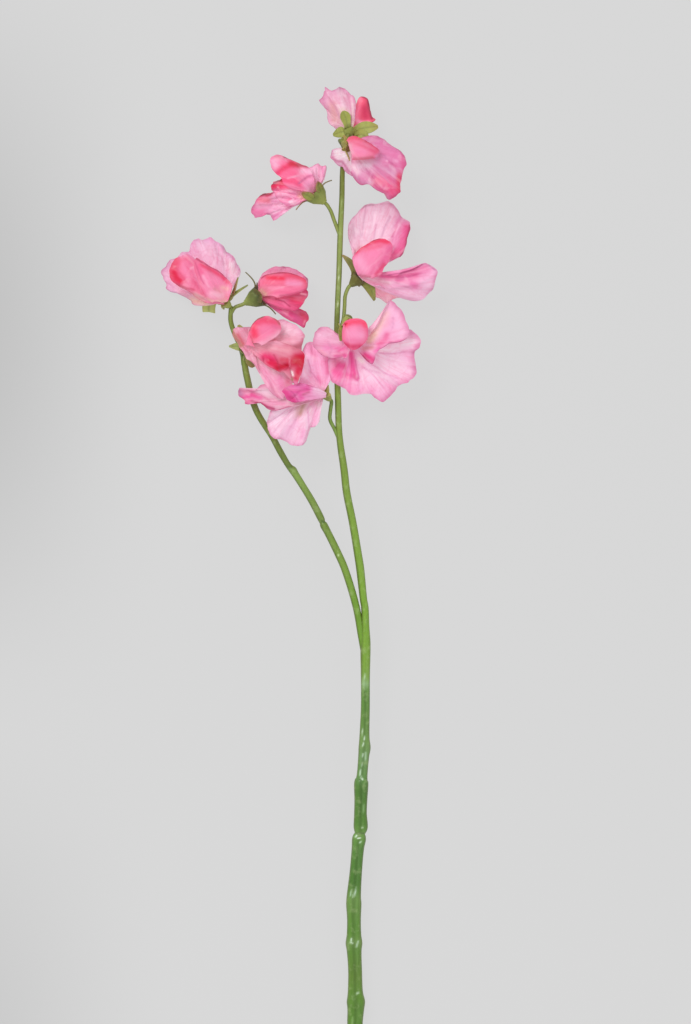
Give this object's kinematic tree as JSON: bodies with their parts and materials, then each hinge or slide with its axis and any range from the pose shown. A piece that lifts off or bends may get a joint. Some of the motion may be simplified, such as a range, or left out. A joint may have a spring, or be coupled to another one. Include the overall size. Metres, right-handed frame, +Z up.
{
  "type": "artificial sweet pea spray",
  "caption": "Cut artificial sweet pea spray lying flat: a long jointed stem with a side stalk and ruffled pink blooms in green calyces.",
  "frame": {"origin": "centre of the bounding box's footprint, on the surface the spray lies on", "axes": "+Z up from that surface, +Y along the stem from its cut end to the topmost bloom, +X to the right in the picture, the side the large facing bloom is on"},
  "size_m": [0.1392, 0.4816, 0.0398],
  "materials": {
    "stem": "semi-gloss",
    "sepal": "matte",
    "petal_pale": "matte",
    "petal_pink": "matte",
    "petal_deep": "matte"
  },
  "bodies": {
    "root": {"stem": "stem", "calyx_1": "sepal", "standard_1": "petal_pale", "keel_1": "petal_deep", "calyx_2": "sepal", "standard_2": "petal_pale", "wing_left_2": "petal_pink", "keel_2": "petal_deep", "calyx_3": "sepal", "standard_3": "petal_pale", "wing_left_3": "petal_pink", "wing_right_3": "petal_pink", "keel_3": "petal_deep", "calyx_4": "sepal", "standard_4": "petal_pale", "wing_left_4": "petal_pink", "wing_right_4": "petal_pink", "keel_4": "petal_deep", "calyx_5": "sepal", "standard_5": "petal_pale", "wing_left_5": "petal_pink", "wing_right_5": "petal_pink", "keel_5": "petal_deep", "calyx_6": "sepal", "standard_6": "petal_pale", "wing_left_6": "petal_pink", "wing_right_6": "petal_pink", "keel_6": "petal_deep", "calyx_7": "sepal", "standard_7": "petal_pale", "wing_left_7": "petal_pink", "wing_right_7": "petal_pink", "keel_7": "petal_deep", "calyx_8": "sepal", "standard_8": "petal_pale", "wing_left_8": "petal_pink", "wing_right_8": "petal_pink", "keel_8": "petal_deep", "calyx_9": "sepal", "standard_9": "petal_pale", "wing_left_9": "petal_pink", "wing_right_9": "petal_pink", "keel_9": "petal_deep"}
  },
  "joints": []
}
